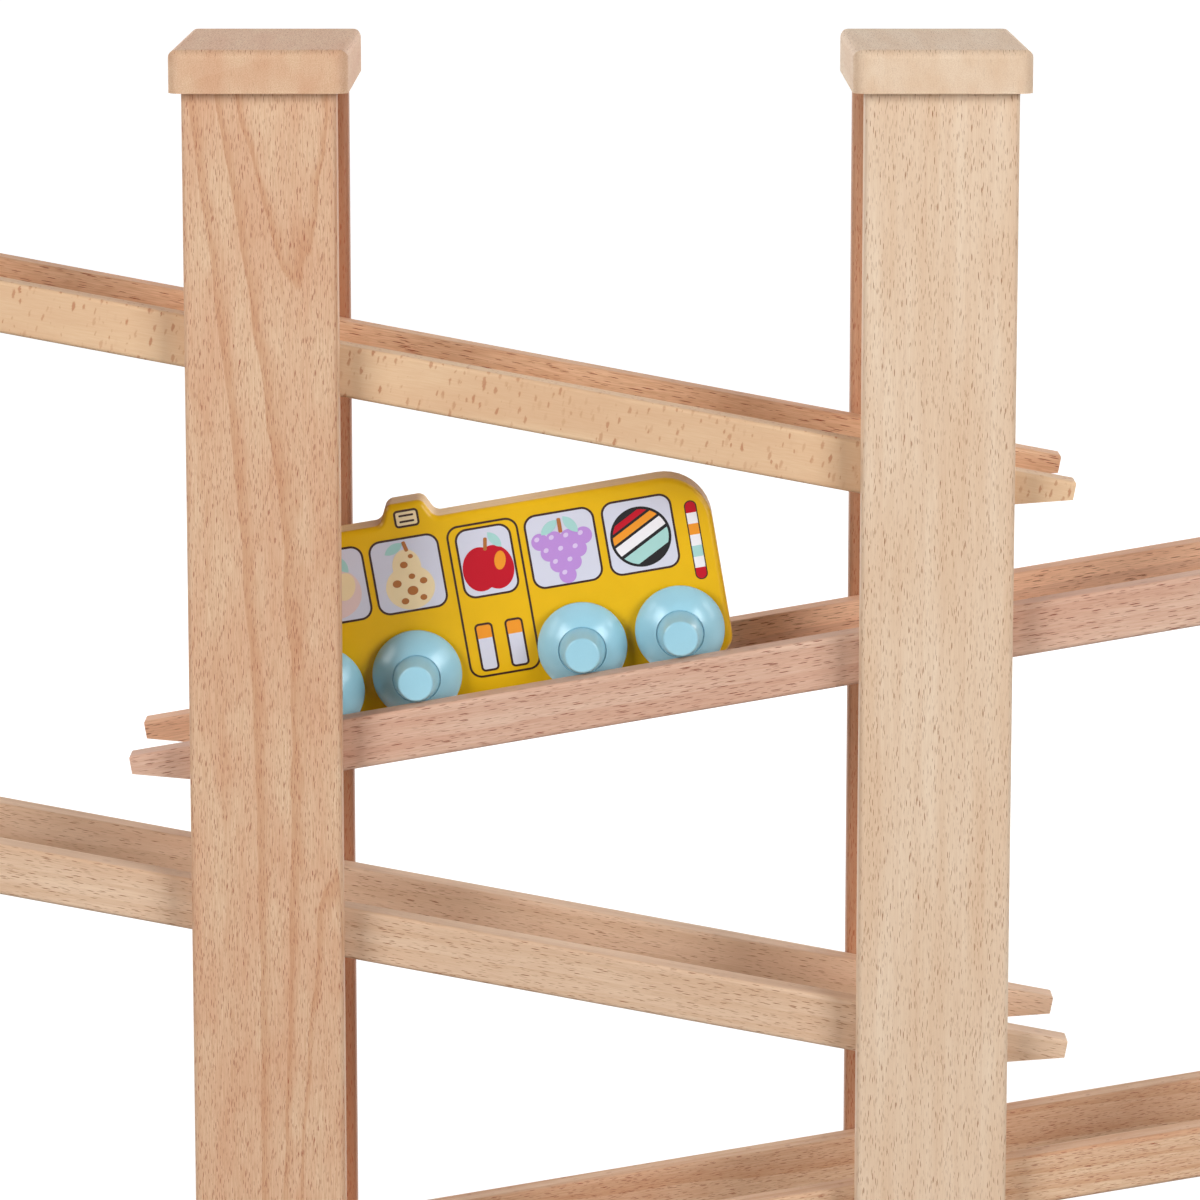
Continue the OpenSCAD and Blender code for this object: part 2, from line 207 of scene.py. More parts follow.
lift = addNode(tree, "ShaderNodeMath", {"operation": "MULTIPLY"},
               {0: direct.outputs[0], 1: lift.outputs[0]})
shader.inputs["Emission Color"].default_value = (1, 1, 1, 1)
tree.links.new(lift.outputs[0], shader.inputs["Emission Strength"])
floor.data.materials.append(material)
print("camera, light and floor ready")

# What all boards share: the detail of each noise, how it reaches into colour, and the oiled finish; in mm
oiledBeech = {
    "details": {"bands": 2.0, "sway": 1.0, "fibres": 3.0, "ragged": 1.0}, "coarseness": 0.55,
    "bandRange": (0.34, 0.66), "fibreRange": (0.35, 0.75), "ringFade": 3, "ringLeft": 0.25,
    "scatter": 0.9, "leastFleck": 0.45, "fleckSpread": 0.8, "fleckCore": 0.5, "facing": (0.3, 0.8),
    "roughness": (0.46, 0.56), "ior": 1.48, "specular": 0.25,
    "fleckDip": -0.15, "bumpStrength": 0.3, "bumpDepth": 0.03,
}


def beechMaterial(name, look):
    # beech, planed and sanded, under a thin matt oil: pinkish tan with soft bands along the grain,
    # faint growth rings that close to arches on a flat-sawn face, and many short brown ray flecks
    material, tree, shader = newMaterial(name)
    o = oiledBeech
    grain = Vector(look["grain"]).normalized()
    ray = Vector(look["ray"]).normalized()
    board = Matrix((grain, ray.cross(grain), ray))  # rows: along the grain, across it, along the rays
    spot = addNode(tree, "ShaderNodeTexCoord")
    inMm = addNode(tree, "ShaderNodeMapping", {
        "Scale": perMm, "Rotation": board.to_euler(), "Location": look["offset"],
    }, {"Vector": spot.outputs["Object"]})
    # sizes along the grain, across it and along the rays
    sizes = {"bands": look["bandSize"], "sway": look["swaySize"], "fibres": look["fibreSize"],
             "ragged": look["raggedSize"]}
    noise = {}
    for part, size in sizes.items():
        at = addNode(tree, "ShaderNodeVectorMath", {"operation": "DIVIDE", 1: size}, {0: inMm.outputs[0]})
        noise[part] = addNode(tree, "ShaderNodeTexNoise", {
            "Scale": 1.0, "Detail": o["details"][part], "Roughness": o["coarseness"],
        }, {"Vector": at.outputs[0]})
    # growth rings round a leaning, bowed pith, each darkening outwards to a sharp edge
    lean, sideLean = (radians(a) for a in look["lean"])
    pith = addNode(tree, "ShaderNodeMapping", {"Location": look["pith"], "Rotation": (0, lean, sideLean)},
                   {"Vector": inMm.outputs[0]})
    along = addNode(tree, "ShaderNodeSeparateXYZ", None, {0: pith.outputs[0]}).outputs["X"]
    square = addNode(tree, "ShaderNodeMath", {"operation": "MULTIPLY"}, {0: along, 1: along})
    bow = addNode(tree, "ShaderNodeMath", {"operation": "MULTIPLY", 1: -look["bow"]},
                  {0: square.outputs[0]})
    bend = addNode(tree, "ShaderNodeCombineXYZ", None, {"Z": bow.outputs[0]})
    spoke = addNode(tree, "ShaderNodeVectorMath", {"operation": "MULTIPLY_ADD", 1: (0, 1, 1)},
                    {0: pith.outputs[0], 2: bend.outputs[0]})
    radius = addNode(tree, "ShaderNodeVectorMath", {"operation": "LENGTH"}, {0: spoke.outputs[0]})
    swayed = addNode(tree, "ShaderNodeMath", {"operation": "MULTIPLY_ADD", 1: look["sway"]},
                     {0: noise["sway"].outputs[0], 2: radius.outputs["Value"]})
    frayed = addNode(tree, "ShaderNodeMath", {"operation": "MULTIPLY_ADD", 1: look["fray"]},
                     {0: noise["fibres"].outputs[0], 2: swayed.outputs[0]})
    reach = addNode(tree, "ShaderNodeMath", {"operation": "SUBTRACT", 1: look["ringFrom"]},
                    {0: frayed.outputs[0]})
    count = addNode(tree, "ShaderNodeMath", {"operation": "DIVIDE", 1: look["rings"]},
                    {0: reach.outputs[0]})
    widening = addNode(tree, "ShaderNodeMath", {"operation": "SQRT"}, {0: count.outputs[0]})
    ring = addNode(tree, "ShaderNodeMath", {"operation": "FRACT"}, {0: widening.outputs[0]})
    fading = addNode(tree, "ShaderNodeMapRange", {
        "From Min": look["ringTo"], "From Max": look["ringTo"] + o["ringFade"],
        "To Min": look["ringDepth"], "To Max": look["ringDepth"] * o["ringLeft"],
    }, {"Value": radius.outputs["Value"]})
    # ray flecks: one to a cell, most of them faint, with ragged outlines; the cells are turned so that
    # no rows of them show
    cells = addNode(tree, "ShaderNodeMapping", {
        "Scale": [1 / size for size in look["cell"]], "Rotation": look["cellTurn"],
    }, {"Vector": inMm.outputs[0]})
    shaken = addNode(tree, "ShaderNodeVectorMath", {"operation": "MULTIPLY_ADD", 1: look["ragged"]},
                     {0: noise["ragged"].outputs["Color"], 2: cells.outputs[0]})
    fleck = addNode(tree, "ShaderNodeTexVoronoi", {"Scale": 1.0, "Randomness": o["scatter"]},
                    {"Vector": shaken.outputs[0]})
    chance = addNode(tree, "ShaderNodeSeparateColor", None, {"Color": fleck.outputs["Color"]})
    growth = addNode(tree, "ShaderNodeMath", {
        "operation": "MULTIPLY_ADD", 1: o["fleckSpread"], 2: o["leastFleck"],
    }, {0: chance.outputs[1]})
    inside = addNode(tree, "ShaderNodeMath", {"operation": "DIVIDE"},
                     {0: fleck.outputs["Distance"], 1: growth.outputs[0]})
    body = addNode(tree, "ShaderNodeMapRange", {
        "interpolation_type": "SMOOTHSTEP",
        "From Min": look["fleckSize"] * o["fleckCore"], "From Max": look["fleckSize"],
        "To Min": 1.0, "To Max": 0.0,
    }, {"Value": inside.outputs[0]})
    rare = addNode(tree, "ShaderNodeMath", {"operation": "POWER", 1: look["rarity"]},
                   {0: chance.outputs[0]})
    strength = addNode(tree, "ShaderNodeMapRange", {"To Min": look["faint"], "To Max": look["strong"]},
                       {"Value": rare.outputs[0]})
    # they are clear on faces square to the rays, and little more than a silky shadow on faces along them
    towards = addNode(tree, "ShaderNodeVectorMath", {"operation": "DOT_PRODUCT", 1: ray},
                      {0: spot.outputs["Normal"]})
    facing = addNode(tree, "ShaderNodeMath", {"operation": "ABSOLUTE"}, {0: towards.outputs["Value"]})
    clear = addNode(tree, "ShaderNodeMapRange", {
        "From Min": o["facing"][0], "From Max": o["facing"][1], "To Min": look["sideFlecks"], "To Max": 1.0,
    }, {"Value": facing.outputs[0]})
    shown = addNode(tree, "ShaderNodeMath", {"operation": "MULTIPLY"},
                    {0: strength.outputs[0], 1: clear.outputs[0]})
    flecks = addNode(tree, "ShaderNodeMath", {"operation": "MULTIPLY"},
                     {0: body.outputs[0], 1: shown.outputs[0]})
    # how far each layer of colour covers the one below
    depth = {
        "deep": addNode(tree, "ShaderNodeMapRange", {
            "From Min": o["bandRange"][0], "From Max": o["bandRange"][1],
        }, {"Value": noise["bands"].outputs[0]}),
        "ring": addNode(tree, "ShaderNodeMapRange", {
            "interpolation_type": "SMOOTHSTEP", "From Min": look["ringStart"], "From Max": 1.0,
        }, {"Value": ring.outputs[0], "To Max": fading.outputs[0]}),
        "fibre": addNode(tree, "ShaderNodeMapRange", {
            "From Min": o["fibreRange"][0], "From Max": o["fibreRange"][1], "To Max": look["fibreDepth"],
        }, {"Value": noise["fibres"].outputs[0]}),
        "fleck": flecks,
    }
    colour = addNode(tree, "ShaderNodeMix", {
        "data_type": "RGBA", 6: linearColour(look["pale"]), 7: linearColour(look["deep"]),
    }, {0: depth["deep"].outputs[0]})
    for layer in ("ring", "fibre", "fleck"):
        colour = addNode(tree, "ShaderNodeMix", {"data_type": "RGBA", 7: linearColour(look[layer])},
                         {0: depth[layer].outputs[0], 6: colour.outputs[2]})
    tree.links.new(colour.outputs[2], shader.inputs["Base Color"])
    # the oil sinks in a little deeper between the fibres
    satin = addNode(tree, "ShaderNodeMapRange", {"To Min": o["roughness"][0], "To Max": o["roughness"][1]},
                    {"Value": noise["fibres"].outputs[0]})
    tree.links.new(satin.outputs[0], shader.inputs["Roughness"])
    shader.inputs["IOR"].default_value = o["ior"]
    shader.inputs["Specular IOR Level"].default_value = o["specular"]
    relief = addNode(tree, "ShaderNodeMath", {"operation": "MULTIPLY_ADD", 1: o["fleckDip"]},
                     {0: flecks.outputs[0], 2: noise["fibres"].outputs[0]})
    bump = addNode(tree, "ShaderNodeBump", {"Strength": o["bumpStrength"], "Distance": o["bumpDepth"] * mm},
                   {"Height": relief.outputs[0]})
    tree.links.new(bump.outputs[0], shader.inputs["Normal"])
    return material


# Ramps fall by turns to the right and to the left
slopes = {1: -10.7, 2: 9.8, 3: -10.7, 4: 9.8}
upright, inwards = (0, 0, 1), (0, 1, 0)


def alongRamp(i):
    return cos(radians(slopes[i])), 0, sin(radians(slopes[i]))


def squareToRamp(i):
    return -sin(radians(slopes[i])), 0, cos(radians(slopes[i]))


# Boards: flat-sawn unless the rays are turned; "pith" is where the rings' middle lies; sizes in mm
beech = {
    "pale": "#E5C6A6", "deep": "#DCB393", "ring": "#C48C66", "fibre": "#B5764C", "fleck": "#8C300A",
    "fibreSize": (9, 0.38, 0.38), "fibreDepth": 0.5, "bandSize": (90, 9, 14),
    "rings": 0.08, "ringFrom": 0, "ringTo": 200, "ringStart": 0.4, "ringDepth": 0.45, "fray": 0.4,
    "sway": 2, "swaySize": (40, 8, 8), "lean": (1.6, 0), "bow": 0, "pith": (0, 8, 50),
    "cell": (3.3, 0.22, 3.4), "cellTurn": (0.5, 0.35, 0.38), "fleckSize": 0.37,
    "raggedSize": (1.1, 0.5, 1.4), "ragged": (0.14, 0.34, 0.2),
    "rarity": 1.8, "faint": 0.25, "strong": 2.0, "sideFlecks": 0.15,
}
pinkBeech = dict(
    beech, pale="#E2C2AC", deep="#D7AE97", ring="#CB9C85", fibre="#BB866C", fleck="#7C3418",
    cell=(5.2, 0.36, 5), fleckSize=0.39, rarity=2.0, strong=1.4)
# beech for the rear posts, painted darker and redder: painted shade for the shade they stand in behind the
# front posts
paintedShadeBeech = dict(beech, pale="#C69878", deep="#BA8867", ring="#AC7656", fibre="#A06C4C")
paleBeech = dict(
    beech, pale="#EBD5BC", deep="#E2C5A8", ring="#D8B496", fibre="#C9A27E", fleck="#8F5C34", ringDepth=0.2)
rosyBeech = dict(
    paleBeech, pale="#E8CDB2", deep="#DCBB9E", ring="#CFA988", fibre="#C9A283", fleck="#8A4E28",
    ringDepth=0.4, cell=(4.6, 0.34, 4.5), rarity=1.5, strong=1.2)
silkBeech = dict(
    beech, pale="#E8CAA6", deep="#DDB894", ring="#D8AC84", fibre="#CB9A70", fleck="#B4714C",
    ringDepth=0.15, fibreDepth=0.3, fibreSize=(7, 1, 0.5), cell=(1.7, 2.3, 4.4), fleckSize=0.38,
    raggedSize=(0.8, 0.8, 1.4), ragged=(0.6, 0.5, 0.2), rarity=1.0, faint=0.05, strong=0.75, sideFlecks=1)
looks = {
    # rings that narrow to a waist halfway up this post, so that arches close above and below it
    "post_front_left": dict(
        beech, grain=upright, ray=inwards, offset=(0, 99.5, 47), pith=(-297, -26.7, 42.85), lean=(0, 3.72),
        bow=0.000176, rings=1, ringFrom=41, ringTo=48.5, ringStart=0.5, ringDepth=0.53,
        sway=1.1, swaySize=(24, 7, 7), bandSize=(48, 10, 14)),
    "post_front_right": dict(
        paleBeech, grain=upright, ray=inwards, offset=(250, 33, 21), cell=(3.8, 0.27, 4), fibreDepth=0.32,
        fleck="#92562A", strong=1.55),
    # the rear posts carry painted shade in their colour, the left one darker still
    "post_rear_left": dict(
        paintedShadeBeech, grain=upright, ray=inwards, offset=(470, 71, 9), pale="#B38061", deep="#A77050"),
    "post_rear_right": dict(paintedShadeBeech, grain=upright, ray=inwards, offset=(810, 17, 47)),
    "foot_left": dict(beech, grain=inwards, ray=upright, offset=(33, 5, 70)),
    "foot_right": dict(paleBeech, grain=inwards, ray=upright, offset=(120, 77, 30)),
    "cap_left": dict(beech, grain=inwards, ray=upright, offset=(60, 41, 12)),
    "cap_right": dict(paleBeech, grain=inwards, ray=upright, offset=(7, 93, 66)),
    "finish_stop": dict(beech, grain=inwards, ray=alongRamp(4), offset=(500, 61, 8)),
    "rail_dowels": dict(paleBeech, grain=inwards, ray=upright, offset=(22, 3, 17)),
    "stop_dowels": dict(paleBeech, grain=inwards, ray=upright, offset=(74, 13, 37)),
    "cap_dowels": dict(paleBeech, grain=upright, ray=inwards, offset=(96, 43, 57)),
}
# the ramps' pieces and the axles are cut at even steps, so that no two show the same stretch of grain
cuts = {"rail": (137, 29, 11), "stop": (83, 19, 5), "axle": (31, 7, 3), "rearShift": 400}


def cutAt(kind, i, shift=0):
    along, across, deep = cuts[kind]
    return along * i + shift, across * i, deep * i


for i, base in {1: beech, 2: pinkBeech, 3: rosyBeech, 4: beech}.items():
    for side, shift in (("front", 0), ("rear", cuts["rearShift"])):
        looks[f"ramp_{i}_rail_{side}"] = dict(
            base, grain=alongRamp(i), ray=inwards, offset=cutAt("rail", i, shift))
    looks[f"ramp_{i}_end_stop"] = dict(base, grain=inwards, ray=alongRamp(i), offset=cutAt("stop", i))
    looks[f"axle_{i}"] = dict(paleBeech, grain=inwards, ray=upright, offset=cutAt("axle", i))
looks["ramp_1_rail_front"].update(silkBeech, ray=squareToRamp(1))
# The rear rails' tones are partly painted light: their inner faces lie in shade, ramps 1 and 3 are painted
# redder there as painted shade, and ramp 2 is painted lighter to make up for the shade on it; their flecks
# are their own grain
looks["ramp_1_rail_rear"].update(
    pale="#EDC5A1", deep="#E4B28D", cell=(6.4, 0.4, 5), rarity=1.8, strong=1.7, fibreDepth=0.6)
looks["ramp_2_rail_rear"].update(pale="#F6CAA8", deep="#EDB995")
looks["ramp_3_rail_rear"].update(pale="#E9CAAE", deep="#DDB89B", fleck="#84400F", strong=1.0)
for name, look in looks.items():
    nodes[name].data.materials.clear()
    nodes[name].data.materials.append(beechMaterial("beech_" + name, look))
print("beech on", len(looks), "boards, dowels and axles")

zinc = {"dark": "#B4B7BC", "light": "#D3D5D8", "spangle": 0.6, "detail": 3.0, "roughness": (0.25, 0.42)}


def steelMaterial(name):
    # zinc-plated steel: bluish grey, with a fine spangle in tone and gloss
    material, tree, shader = newMaterial(name)
    spot = addNode(tree, "ShaderNodeTexCoord")
    inMm = addNode(tree, "ShaderNodeMapping", {"Scale": perMm}, {"Vector": spot.outputs["Object"]})
    spangle = addNode(tree, "ShaderNodeTexNoise", {"Scale": 1 / zinc["spangle"], "Detail": zinc["detail"]},
                      {"Vector": inMm.outputs[0]})
    tone = addNode(tree, "ShaderNodeMix", {
        "data_type": "RGBA", 6: linearColour(zinc["dark"]), 7: linearColour(zinc["light"]),
    }, {0: spangle.outputs[0]})
    tree.links.new(tone.outputs[2], shader.inputs["Base Color"])
    rough = addNode(tree, "ShaderNodeMapRange", {
        "To Min": zinc["roughness"][0], "To Max": zinc["roughness"][1],
    }, {"Value": spangle.outputs[0]})
    tree.links.new(rough.outputs[0], shader.inputs["Roughness"])
    shader.inputs["Metallic"].default_value = 1
    return material


nodes["foot_screws"].data.materials.clear()
nodes["foot_screws"].data.materials.append(steelMaterial("zincPlatedSteel"))

# What paints and inks share; grit, cloud and peel in mm
enamel = {
    "roughness": 0.32, "roughSpread": 0.05, "mottle": 0.24, "mottleRange": (0.45, 1.05), "shade": 0.75,
    "grit": 0.35, "gritShare": 0.5, "cloud": 9, "detail": 2.0, "ior": 1.5, "specular": 0.3,
    "bumpStrength": 0.4, "peel": 0.03,
}


def enamelMaterial(name, colour, **changes):
    # water-based enamel or printing ink over sanded wood, under a clear satin coat:
    # an even colour with a faint mottle, and a coat that follows the wood below
    material, tree, shader = newMaterial(name)
    e = dict(enamel, **changes)
    spot = addNode(tree, "ShaderNodeTexCoord")
    inMm = addNode(tree, "ShaderNodeMapping", {"Scale": perMm}, {"Vector": spot.outputs["Object"]})
    grain, cloud = (addNode(tree, "ShaderNodeTexNoise", {"Scale": 1 / size, "Detail": e["detail"]},
                            {"Vector": inMm.outputs[0]}) for size in (e["grit"], e["cloud"]))
    both = addNode(tree, "ShaderNodeMath", {"operation": "MULTIPLY_ADD", 1: e["gritShare"]},
                   {0: grain.outputs[0], 2: cloud.outputs[0]})
    depth = addNode(tree, "ShaderNodeMapRange", {
        "From Min": e["mottleRange"][0], "From Max": e["mottleRange"][1], "To Max": e["mottle"],
    }, {"Value": both.outputs[0]})
    base = linearColour(colour)
    tint = addNode(tree, "ShaderNodeMix", {
        "data_type": "RGBA", 6: base, 7: [c * e["shade"] for c in base[:3]] + [1],
    }, {0: depth.outputs[0]})
    tree.links.new(tint.outputs[2], shader.inputs["Base Color"])
    rough = addNode(tree, "ShaderNodeMapRange", {
        "To Min": e["roughness"] - e["roughSpread"], "To Max": e["roughness"] + e["roughSpread"],
    }, {"Value": cloud.outputs[0]})
    tree.links.new(rough.outputs[0], shader.inputs["Roughness"])
    shader.inputs["IOR"].default_value = e["ior"]
    shader.inputs["Specular IOR Level"].default_value = e["specular"]
    bump = addNode(tree, "ShaderNodeBump", {"Strength": e["bumpStrength"], "Distance": e["peel"] * mm},
                   {"Height": both.outputs[0]})
    tree.links.new(bump.outputs[0], shader.inputs["Normal"])
    return material


# Bus frame: u runs uphill along the ramp, v square to it, from the middle between the axles
wheelBoxes = [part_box(f"wheel_{n}_front") for n in (1, 2, 3, 4)]
axles = [Vector(((low.x + high.x) / 2, 0, (low.z + high.z) / 2)) for low, high in wheelBoxes]
busMiddle = (axles[0] + axles[3]) / 2
busTurn = (0, -atan2(axles[3].z - axles[0].z, axles[3].x - axles[0].x), 0)

# Bus body: a board with painted sides and bare edges; the zones tell roof corners from the hatch's
busBody = {
    "length": 156, "roof": 51, "sill": -11.5, "thickness": 18,
    "roofRound": 16, "sillRound": 7, "hatchRound": 1.86, "cornerSteps": 10, "endZone": 70, "hatchZone": 40,
    "hatchAt": -22.5, "hatchWidth": 12, "hatchUp": 6.5, "edgeRound": 2.0, "edgeSteps": 6,
    "flatAngle": 1, "bareBelow": 0.1, "yellow": "#E9B810",
    # the bare edges are painted paler than the beech's own tone: partly painted light, for the light on the
    # top edge
    "edge": {"pale": "#FBDDAA", "deep": "#F2CD93", "faint": 0, "strong": 0.15, "offset": (640, 12, 31)},
}
b = busBody
startPiece()
bpy.ops.mesh.primitive_plane_add(size=1, rotation=(pi / 2, 0, 0),
                                 location=(0, -b["thickness"] / 2 * mm, (b["roof"] + b["sill"]) / 2 * mm))
body = bpy.context.object
body.name = "busBody"
body.scale = (b["length"] * mm, (b["roof"] - b["sill"]) * mm, 1)
bpy.ops.object.transform_apply(location=True, rotation=True, scale=True)
hatchFoot = b["hatchWidth"] + b["hatchUp"]
for side in (-0.5, 0.5):
    pick(body, "VERT", lambda co: True)
    bpy.ops.mesh.bisect(plane_co=((b["hatchAt"] + side * hatchFoot) * mm, 0, 0), plane_no=(1, 0, 0))
pick(body, "EDGE", lambda p, q: min(p.z, q.z) > b["roof"] * mm - slack
     and abs((p.x + q.x) / 2 - b["hatchAt"] * mm) < slack)
bpy.ops.mesh.extrude_region_move(TRANSFORM_OT_translate={"value": (0, 0, b["hatchUp"] * mm)})
bpy.ops.transform.resize(value=(b["hatchWidth"] / hatchFoot, 1, 1),
                         center_override=(b["hatchAt"] * mm, 0, 0))
bpy.ops.mesh.select_all(action="SELECT")
bpy.ops.mesh.dissolve_limited(angle_limit=radians(b["flatAngle"]))
for test, reach in (
    (lambda co: co.z > 0 and abs(co.x) > b["endZone"] * mm, b["roofRound"]),
    (lambda co: co.z < 0, b["sillRound"]),
    (lambda co: co.z > b["roof"] * mm - slack and abs(co.x) < b["hatchZone"] * mm, b["hatchRound"]),
):
    pick(body, "VERT", test)
    bpy.ops.mesh.bevel(offset=reach * mm, segments=b["cornerSteps"], affect="VERTICES")
pick(body, "FACE", lambda middle, normal: True)
bpy.ops.mesh.extrude_region_move(TRANSFORM_OT_translate={"value": (0, b["thickness"] * mm, 0)})
pick(body, "EDGE", lambda p, q: abs(p.y - q.y) < slack)
bpy.ops.mesh.bevel(offset=b["edgeRound"] * mm, segments=b["edgeSteps"], affect="EDGES")
closePiece(body)
settle(body, busMiddle, busTurn)
yellow = enamelMaterial("yellowEnamel", b["yellow"])
body.data.materials.append(yellow)
body.data.materials.append(
    beechMaterial("beech_bus_edge", dict(paleBeech, grain=alongRamp(2), ray=inwards, **b["edge"])))
for face in body.data.polygons:
    face.material_index = int(abs(face.normal.y) < b["bareBelow"])
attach(body, "bus")
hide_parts("bus_body")
print("bus body ready:", len(body.data.polygons), "faces")

# Print on both sides of the bus: windows, a door, fruit and a ball, each ink a thin layer
inks = {
    "outline": "#3A2119", "pane": "#D6D8E8", "cream": "#F2DDB2", "tan": "#B06F3A", "red": "#C00A24",
    "orange": "#F0992B", "violet": "#BE90DA", "lilac": "#DCC8EE", "teal": "#A8D6D2", "white": "#F1EFF4",
    "night": "#171418", "blush": "#E6CDCB", "yellow": b["yellow"],
}
inkFinish = {"roughness": 0.34, "mottle": 0.16}
printing = {
    "face": b["thickness"] / 2, "sink": 0.2, "layer": 0.03, "line": 0.75, "roundSteps": 8, "discSteps": 48,
}
plates = {ink: [] for ink in inks}


def printPlate(ink, layer, middle, size, corner=None, turn=0, band=None, leaf=False):
    # one flat plate of ink, sizes in mm: a disc, or a rectangle whose corners are rounded;
    # band keeps only the part between two heights, and a leaf has two sharp corners
    p = printing
    startPiece()
    if corner is None:
        bpy.ops.mesh.primitive_circle_add(vertices=p["discSteps"], radius=0.5, fill_type="NGON",
                                          rotation=(pi / 2, 0, 0))
    else:
        bpy.ops.mesh.primitive_plane_add(size=1, rotation=(pi / 2, 0, 0))
    plate = bpy.context.object
    plate.scale = (size[0] * mm, size[1] * mm, 1)
    bpy.ops.object.transform_apply(location=True, rotation=True, scale=True)
    if corner:
        pick(plate, "VERT", lambda co: not leaf or co.x * co.z > 0)
        bpy.ops.mesh.bevel(offset=corner * mm, segments=p["roundSteps"], affect="VERTICES")
    for height, keepAbove in zip(band or (), (True, False)):
        pick(plate, "VERT", lambda co: True)
        bpy.ops.mesh.bisect(plane_co=(0, 0, height * mm), plane_no=(0, 0, 1),
                            clear_inner=keepAbove, clear_outer=not keepAbove)
    pick(plate, "FACE", lambda centre, normal: True)
    rise = p["layer"] * (layer + 1)
    bpy.ops.mesh.extrude_region_move(TRANSFORM_OT_translate={"value": (0, (p["sink"] + rise) * mm, 0)})
    settle(plate, (middle[0] * mm, -(p["face"] + rise) * mm, middle[1] * mm), (0, -radians(turn), 0))
    plates[ink].append(plate)


def printPane(ink, layer, middle, size, corner):
    # a pane with a dark line round it
    inside = 2 * printing["line"]
    printPlate("outline", layer, middle, size, corner)
    printPlate(ink, layer + 1, middle, (size[0] - inside, size[1] - inside), corner - printing["line"])


windows = {"size": (23.8, 25.4), "middle": 33.4, "corner": 4.2, "at": (-50.8, -25.2, 27.3, 53.4)}
for u in windows["at"]:
    printPane("pane", 0, (u, windows["middle"]), windows["size"], windows["corner"])
door = {
    "at": 1.5, "width": 24.2, "low": -5.4, "high": 46.8, "corner": 4.2, "windowSize": (19, 23.8),
    "windowAt": 33.4, "paneSize": (6.2, 16.5), "paneAt": 4.7, "paneApart": 10.2, "paneCorner": 1.6,
    "paneTop": 4.4, "topInset": 0.7, "topCorner": 0.9,
}
d = door
printPane("yellow", 0, (d["at"], (d["low"] + d["high"]) / 2), (d["width"], d["high"] - d["low"]),
          d["corner"])
printPane("pane", 2, (d["at"], d["windowAt"]), d["windowSize"], d["corner"])
paneHalf = d["paneSize"][1] / 2 - printing["line"]
for side in (-0.5, 0.5):
    spot = (d["at"] + side * d["paneApart"], d["paneAt"])
    printPane("pane", 2, spot, d["paneSize"], d["paneCorner"])
    printPlate("orange", 4, spot, (d["paneSize"][0] - 2 * d["topInset"], 2 * paneHalf), d["topCorner"],
               band=(paneHalf - d["paneTop"], paneHalf))

# Rows of berries, each with a small shine
grapes = {
    "rows": (4, 3, 2, 1), "apart": 4.9, "rowDown": 4.1, "berry": (5.8, 5.8),
    "shineAt": (-0.9, 1), "shine": (1.8, 1.5), "shineTurn": 30,
}
g = grapes
berries = []
for row, count in enumerate(g["rows"]):
    for k in range(count):
        du, dv = (k - (count - 1) / 2) * g["apart"], -row * g["rowDown"]
        layer = 2 + 2 * (row % 2) + k % 2  # neighbours never share one
        berries.append(("violet", layer, (du, dv), g["berry"], {}))
        berries.append(("lilac", 6, (du + g["shineAt"][0], dv + g["shineAt"][1]), g["shine"],
                        {"turn": g["shineTurn"]}))
pearSpots = ((-4.2, 1.8, 3), (0.6, -1.2, 3.6), (4.7, 1.6, 2.5), (-2.5, -4.4, 2.5), (3.8, -4, 2.3),
             (1.1, 3.6, 2.2), (-0.9, 7.8, 2.6), (1.8, 10.4, 1.7))
spotFlat = 0.85  # height of a spot against its width
ballBands = {"teal": (-7, -2.6), "white": (-1.5, 1.9), "orange": (2.8, 5.2), "red": (6.1, 8.1)}
# Behind the panes, from the downhill end of the bus: each motif's middle, then its plates,
# with ink, layer, place from that middle, size and what else a plate needs
motifs = {
    "peach": ((-50.8, 31), [
        ("blush", 2, (0, 0), (18.6, 17.4), {}),
        ("cream", 3, (4, 1.8), (7, 9.4), {"turn": -18}),
        ("tan", 3, (0.2, 9.3), (1.2, 4), {"corner": 0.5, "turn": -12}),
        ("teal", 3, (4, 9.6), (5.4, 5.4), {"corner": 5.1, "turn": -12, "leaf": True}),
    ]),
    "pear": ((-25.2, 29), [
        ("cream", 2, (0, 0), (16.4, 15), {}),
        ("cream", 3, (0, 7), (9.6, 12), {}),
        ("tan", 4, (0.5, 13.9), (1.3, 3.6), {"corner": 0.5, "turn": 14}),
        ("teal", 4, (-3.4, 13.6), (5, 5), {"corner": 4.7, "turn": 70, "leaf": True}),
        *[("tan", 4, (du, dv), (across, across * spotFlat), {}) for du, dv, across in pearSpots],
    ]),
    "apple": ((d["at"], 31), [
        ("red", 4, (-2.6, 0), (12, 15), {"turn": -6}),
        ("red", 5, (2.6, 0), (12, 15), {"turn": 6}),
        ("orange", 6, (4.3, 2), (3.8, 6.4), {"turn": -12}),
        ("tan", 6, (0.3, 8.2), (1.2, 4.4), {"corner": 0.5, "turn": -10}),
        ("teal", 6, (3.6, 9.2), (4.8, 4.8), {"corner": 4.5, "turn": -10, "leaf": True}),
    ]),
    "grapes": ((27.3, 36.6), [
        *berries,
        ("tan", 6, (0, 4.6), (1.3, 5), {"corner": 0.5}),
        ("teal", 6, (-3.6, 4.4), (5.2, 5.2), {"corner": 4.9, "turn": 80, "leaf": True}),
        ("teal", 6, (3.6, 4.4), (5.2, 5.2), {"corner": 4.9, "turn": -10, "leaf": True}),
    ]),
    "ball": ((53.4, 32.8), [
        ("night", 2, (0, 0), (20.4, 20.4), {}),
        *[(ink, 3, (0, 0), (18.6, 18.6), {"turn": 28, "band": band}) for ink, band in ballBands.items()],
    ]),
}
for (u, v), pieces in motifs.values():
    for ink, layer, (du, dv), size, more in pieces:
        printPlate(ink, layer, (u + du, v + dv), size, **more)

